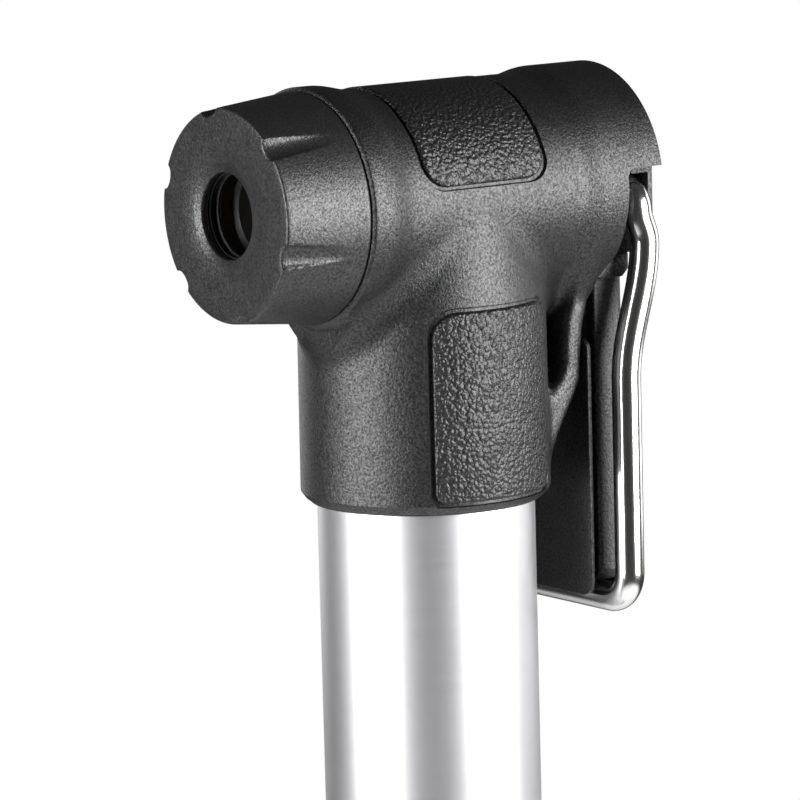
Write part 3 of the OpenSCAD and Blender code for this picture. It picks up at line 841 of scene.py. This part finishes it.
def emboss(tree, shader, height, depth, strength=1.0):
    """Raises a pattern by depth millimetres on the shader's normal."""
    bump = add_node(tree, "ShaderNodeBump", [("Height", height)])
    bump.inputs["Distance"].default_value = depth * MM
    bump.inputs["Strength"].default_value = strength
    tree.links.new(bump.outputs["Normal"], shader.inputs["Normal"])


def spark_eroded_nylon(name, hexadecimal, roughness, depth):
    """Glass-filled nylon from a spark-eroded mould: dull, with pits about 0.24 mm across."""
    material, tree, shader, place = new_finish(name, hexadecimal, 0.0, roughness)
    pits = grain(tree, place, 0.24, 3.0, 0.65)
    emboss(tree, shader, pits.outputs["Fac"], depth)
    sparkle = spread(tree, pits.outputs["Fac"], 0.22, 0.85, 0.36, 0.64)
    tree.links.new(sparkle, shader.inputs["Specular IOR Level"])
    flow = grain(tree, place, 9, 3.0)
    tint(tree, shader, flow.outputs["Fac"], "#242425", 0.35)
    dull = spread(tree, grain(tree, place, 1.1, 4.0).outputs["Fac"], roughness - 0.07, roughness + 0.09)
    tree.links.new(dull, shader.inputs["Roughness"])
    return material


def leather_grain_rubber(name, hexadecimal):
    """Thermoplastic rubber with a leather grain: short worm-like wrinkles about 0.4 mm apart, with painted shade
    in the hollows between them.
    """
    material, tree, shader, place = new_finish(name, hexadecimal, 0.0, 0.42)
    warp = grain(tree, place, 0.5, 1.0)
    push = add_node(tree, "ShaderNodeVectorMath", operation="MULTIPLY_ADD")
    tree.links.new(warp.outputs["Color"], push.inputs[0])
    push.inputs[1].default_value = (0.45 * MM,) * 3
    tree.links.new(place, push.inputs[2])
    cells = add_node(tree, "ShaderNodeTexVoronoi", [("Vector", push.outputs["Vector"])], feature="SMOOTH_F1")
    cells.inputs["Scale"].default_value = 1 / (0.42 * MM)
    cells.inputs["Smoothness"].default_value = 0.35
    emboss(tree, shader, cells.outputs["Distance"], -0.16)
    # painted shade: the base colour darkens towards the cells' edges, the same places that the bump sinks into
    # hollows
    tint(tree, shader, cells.outputs["Distance"], "#0c0c0c", 0.6)
    return material


def anodised_aluminium(name, hexadecimal):
    """Clear anodised drawn tube: a satin metal with fine lines from polishing round the tube."""
    material, tree, shader, place = new_finish(name, hexadecimal, 1.0, 0.45)
    lines = grain(tree, place, 0.12, 2.0, 0.7, (0.02, 0.02, 1))
    emboss(tree, shader, lines.outputs["Fac"], 0.0015)
    tree.links.new(spread(tree, lines.outputs["Fac"], 0.38, 0.46), shader.inputs["Roughness"])
    return material


def polished_wire(name, hexadecimal):
    """Polished spring steel: a near mirror with faint draw marks."""
    material, tree, shader, place = new_finish(name, hexadecimal, 1.0, 0.17)
    marks = spread(tree, grain(tree, place, 0.3, 3.0, 0.6, (1, 1, 0.05)).outputs["Fac"], 0.15, 0.2)
    tree.links.new(marks, shader.inputs["Roughness"])
    emboss(tree, shader, grain(tree, place, 4, 1.0).outputs["Fac"], 0.001)
    return material


def ground_steel(name, hexadecimal):
    """Centreless-ground steel: bright, with fine rings round the axis."""
    material, tree, shader, place = new_finish(name, hexadecimal, 1.0, 0.22)
    rings = grain(tree, place, 0.1, 2.0, 0.7, (0.03, 0.03, 1))
    emboss(tree, shader, rings.outputs["Fac"], 0.001)
    tree.links.new(spread(tree, rings.outputs["Fac"], 0.2, 0.26), shader.inputs["Roughness"])
    return material


def moulded_rubber(name, hexadecimal):
    """Nitrile rubber: soft sheen with a fine moulded skin."""
    material, tree, shader, place = new_finish(name, hexadecimal, 0.0, 0.4)
    emboss(tree, shader, grain(tree, place, 0.3, 2.0).outputs["Fac"], 0.01)
    tint(tree, shader, grain(tree, place, 2).outputs["Fac"], "#2c2c2c", 0.3)
    return material


def moulded_acetal(name, hexadecimal):
    """Natural acetal: milky and waxy, with faint flow marks."""
    material, tree, shader, place = new_finish(name, hexadecimal, 0.0, 0.32)
    shader.inputs["Subsurface Weight"].default_value = 0.1
    shader.inputs["Subsurface Scale"].default_value = 0.5 * MM
    emboss(tree, shader, grain(tree, place, 0.6, 2.0).outputs["Fac"], 0.008)
    tint(tree, shader, grain(tree, place, 4).outputs["Fac"], "#cfcbbd", 0.5)
    return material


def turned_brass(name, hexadecimal):
    """Brass turned on a lathe: bright, with fine tool rings."""
    material, tree, shader, place = new_finish(name, hexadecimal, 1.0, 0.24)
    rings = grain(tree, place, 0.12, 2.0, 0.7, (1, 0.1, 1))
    emboss(tree, shader, rings.outputs["Fac"], 0.005)
    tree.links.new(spread(tree, rings.outputs["Fac"], 0.18, 0.34), shader.inputs["Roughness"])
    return material


finishes = {}


def make_finishes(colours):
    """All the object's materials, by the record's slot."""
    finishes["nylon"] = spark_eroded_nylon("glass_filled_nylon", colours.nylon, 0.38, 0.07)
    finishes["cap_nylon"] = spark_eroded_nylon("cap_nylon", colours.cap_nylon, 0.4, 0.045)
    finishes["pad"] = leather_grain_rubber("leather_grain_rubber", colours.pad)
    finishes["anodised_aluminium"] = anodised_aluminium("anodised_aluminium", colours.aluminium)
    finishes["polished_steel"] = polished_wire("polished_steel_wire", colours.wire)
    finishes["rod_steel"] = ground_steel("ground_steel", colours.steel)
    finishes["rubber"] = moulded_rubber("nitrile_rubber", colours.rubber)
    finishes["acetal"] = moulded_acetal("moulded_acetal", colours.acetal)
    finishes["brass"] = turned_brass("turned_brass", colours.brass)


# ---------------------------------------------------------------- stage


def stage_material(name, build):
    """A material for the stage, whose surface comes from a function that builds its nodes."""
    material = bpy.data.materials.new(name)
    material.use_nodes = True
    material.node_tree.nodes.clear()
    output = material.node_tree.nodes.new("ShaderNodeOutputMaterial")
    material.node_tree.links.new(build(material.node_tree), output.inputs["Surface"])
    return material


def floor_shader(tree):
    """Pale matt floor that fades out towards its edge."""
    place = add_node(tree, "ShaderNodeTexCoord").outputs["Object"]
    reach = add_node(tree, "ShaderNodeVectorMath", [("Vector", place)], operation="LENGTH")
    fade = add_node(tree, "ShaderNodeMapRange", [("Value", reach.outputs["Value"])],
                    interpolation_type="SMOOTHSTEP")
    fade.inputs["From Min"].default_value = 0.22
    fade.inputs["From Max"].default_value = 0.44
    matt = add_node(tree, "ShaderNodeBsdfDiffuse")
    matt.inputs["Color"].default_value = to_linear("#f2f2f2")
    clear = add_node(tree, "ShaderNodeBsdfTransparent")
    mix = add_node(tree, "ShaderNodeMixShader")
    tree.links.new(fade.outputs["Result"], mix.inputs[0])
    tree.links.new(matt.outputs[0], mix.inputs[1])
    tree.links.new(clear.outputs[0], mix.inputs[2])
    return mix.outputs[0]


def backdrop_shader(tree):
    """Even white backdrop."""
    glow = add_node(tree, "ShaderNodeEmission")
    glow.inputs["Color"].default_value = (1, 1, 1, 1)
    return glow.outputs[0]


def camera_axes(azimuth, elevation, roll):
    """Right, up and backward directions of the camera."""
    back = Vector((sin(azimuth) * cos(elevation), -cos(azimuth) * cos(elevation), sin(elevation)))
    right = Vector((cos(azimuth), sin(azimuth), 0))
    up = back.cross(right)
    return right * cos(roll) + up * sin(roll), up * cos(roll) - right * sin(roll), back


def softbox(name, angle, height, distance, width, tall, energy):
    """A tall soft light that faces the pump, from an angle round it."""
    deselect()
    place = Vector((sin(angle) * distance, -cos(angle) * distance, height))
    bpy.ops.object.light_add(type="AREA", location=place)
    lamp = bpy.context.object
    lamp.name = name
    lamp.data.shape = "RECTANGLE"
    lamp.data.size = width
    lamp.data.size_y = tall
    lamp.data.energy = energy
    lamp.visible_camera = False
    aim = Vector((0, 0, height)) - place
    lamp.rotation_euler = aim.to_track_quat("-Z", "Y").to_euler()


def make_stage(stage):
    """Floor, backdrop, softboxes and camera."""
    deselect()
    floor = turned("floor", [(0, -2), (450, -2), (450, 0), (0, 0)], "Z",
                   (0, 0, -stage.floor / MM), 96)
    floor.data.materials.append(stage_material("floor", floor_shader))
    deselect()
    bpy.ops.mesh.primitive_uv_sphere_add(segments=48, ring_count=24, radius=6)
    backdrop = bpy.context.object
    backdrop.name = "backdrop"
    backdrop.data.materials.append(stage_material("backdrop", backdrop_shader))
    for way in ("visible_diffuse", "visible_glossy", "visible_transmission", "visible_shadow"):
        setattr(backdrop, way, False)
    world = bpy.data.worlds.new("studio")
    world.use_nodes = True
    world.node_tree.nodes["Background"].inputs["Color"].default_value = (1, 1, 1, 1)
    world.node_tree.nodes["Background"].inputs["Strength"].default_value = 0.04
    bpy.context.scene.world = world
    for name, turn, height, distance, width, tall, energy in (
            ("left_softbox", -58, 0.22, 0.6, 0.36, 0.44, 7.0),
            ("right_softbox", 66, 0.24, 0.6, 0.41, 0.44, 9.0),
            ("rear_left_softbox", -150, 0.25, 0.8, 0.4, 0.5, 1.0),
            ("rear_softbox", 125, 0.25, 0.8, 0.4, 0.5, 1.3)):
        softbox(name, stage.azimuth + radians(turn), height, distance, width, tall, energy)
    right, up, back = camera_axes(stage.azimuth, stage.elevation, stage.roll)
    bpy.ops.object.camera_add()
    camera = bpy.context.object
    camera.name = "camera"
    camera.data.sensor_width = 36
    camera.data.lens = stage.lens
    turn = Matrix((right, up, back)).transposed().to_4x4()
    place = HEAD * MM + CAMERA_OFFSET * stage.distance
    camera.matrix_world = Matrix.Translation(place) @ turn
    bpy.context.scene.camera = camera
    bpy.context.scene.view_settings.view_transform = "Standard"


# ---------------------------------------------------------------- operators


class PUMP_OT_finishes(bpy.types.Operator):
    """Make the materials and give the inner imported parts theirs"""
    bl_idname = "mini_pump.finishes"
    bl_label = "Materials"

    def execute(self, context):
        make_finishes(context.scene.pump_finish)
        slots = {part["node"]: part["material_slot"] for part in frame["record"]["subparts"]}
        for node, piece in frame["nodes"].items():
            for place in piece.material_slots:
                place.material = finishes[slots[node]]
        return {"FINISHED"}


class PUMP_OT_head(bpy.types.Operator):
    """Mould the head"""
    bl_idname = "mini_pump.head"
    bl_label = "Head moulding"

    def execute(self, context):
        piece = make_head(context.scene.pump_head, context.scene.pump_pads)
        finish(piece, "pump", finishes["nylon"], "nylon", "head_body")
        return {"FINISHED"}


class PUMP_OT_pads(bpy.types.Operator):
    """Set the three textured pads into the head"""
    bl_idname = "mini_pump.pads"
    bl_label = "Pads"

    def execute(self, context):
        head, pads = context.scene.pump_head, context.scene.pump_pads
        levels = pad_levels(pads.proud / MM)
        top = pad_window("top_pad_skin", top_corners(head), levels, top_wrap(head))
        right = pad_window("side_pad_right_skin", side_corners(head), levels, side_wrap(head))
        left = mirrored(right, "side_pad_left_skin")
        for piece, node in ((top, "top_pad"), (right, "side_pad_right"), (left, "side_pad_left")):
            finish(piece, "pump", finishes["pad"], "pad", node)
        return {"FINISHED"}


class PUMP_OT_cap(bpy.types.Operator):
    """Turn the screw cap and press its notches"""
    bl_idname = "mini_pump.cap"
    bl_label = "Screw cap"

    def execute(self, context):
        piece = make_cap(context.scene.pump_cap)
        finish(piece, "cap", finishes["cap_nylon"], "cap_nylon", "valve_cap", angle=40)
        return {"FINISHED"}


class PUMP_OT_lever(bpy.types.Operator):
    """Build the thumb lever: bail, cam hub, grip and inner plate"""
    bl_idname = "mini_pump.lever"
    bl_label = "Thumb lever"

    def execute(self, context):
        lever = context.scene.pump_lever
        finish(make_bail(lever), "lever", finishes["polished_steel"], "polished_steel", "wire_bail")
        finish(make_hub(), "lever", finishes["nylon"], "nylon", "cam_hub")
        finish(make_shell(lever), "lever", finishes["nylon"], "nylon", "lever_shell")
        finish(make_plate(), "lever", finishes["nylon"], "nylon", "lever_face_plate")
        return {"FINISHED"}


class PUMP_OT_barrel(bpy.types.Operator):
    """Draw the barrel tube and turn its gland"""
    bl_idname = "mini_pump.barrel"
    bl_label = "Barrel and gland"

    def execute(self, context):
        finish(make_barrel(), "pump", finishes["anodised_aluminium"], "anodised_aluminium", "barrel")
        finish(make_gland(context.scene.pump_handle), "pump", finishes["nylon"], "nylon", "barrel_gland")
        return {"FINISHED"}


class PUMP_OT_handle(bpy.types.Operator):
    """Build the grip sleeve and the end cap"""
    bl_idname = "mini_pump.handle"
    bl_label = "Handle"

    def execute(self, context):
        finish(make_grip(context.scene.pump_handle), "handle", finishes["pad"], "pad", "handle_grip")
        finish(make_end_cap(), "handle", finishes["nylon"], "nylon", "handle_end_cap")
        return {"FINISHED"}


class PUMP_OT_stage(bpy.types.Operator):
    """Set up the floor, the backdrop, the lights and the camera"""
    bl_idname = "mini_pump.stage"
    bl_label = "Stage"

    def execute(self, context):
        make_stage(context.scene.pump_stage)
        return {"FINISHED"}


OPERATORS = (PUMP_OT_finishes, PUMP_OT_head, PUMP_OT_pads, PUMP_OT_cap, PUMP_OT_lever, PUMP_OT_barrel,
             PUMP_OT_handle, PUMP_OT_stage)


class PUMP_PT_panel(bpy.types.Panel):
    """Lists the steps that build the pump"""
    bl_label = "Mini pump"
    bl_space_type = "VIEW_3D"
    bl_region_type = "UI"
    bl_category = "Mini pump"

    def draw(self, context):
        for operator in OPERATORS:
            self.layout.operator(operator.bl_idname)


SETTINGS = {"pump_head": HeadSettings, "pump_cap": CapSettings, "pump_pads": PadSettings,
            "pump_lever": LeverSettings, "pump_handle": HandleSettings, "pump_finish": FinishSettings,
            "pump_stage": StageSettings}


def register():
    for kind in (*SETTINGS.values(), *OPERATORS, PUMP_PT_panel):
        bpy.utils.register_class(kind)
    for name, kind in SETTINGS.items():
        setattr(bpy.types.Scene, name, PointerProperty(type=kind))


def unregister():
    for name in SETTINGS:
        delattr(bpy.types.Scene, name)
    for kind in (PUMP_PT_panel, *reversed(OPERATORS), *reversed(SETTINGS.values())):
        bpy.utils.unregister_class(kind)


def main():
    register()
    for operator in OPERATORS:
        getattr(bpy.ops.mini_pump, operator.bl_idname.split(".")[1])()


if __name__ == "__main__":
    main()
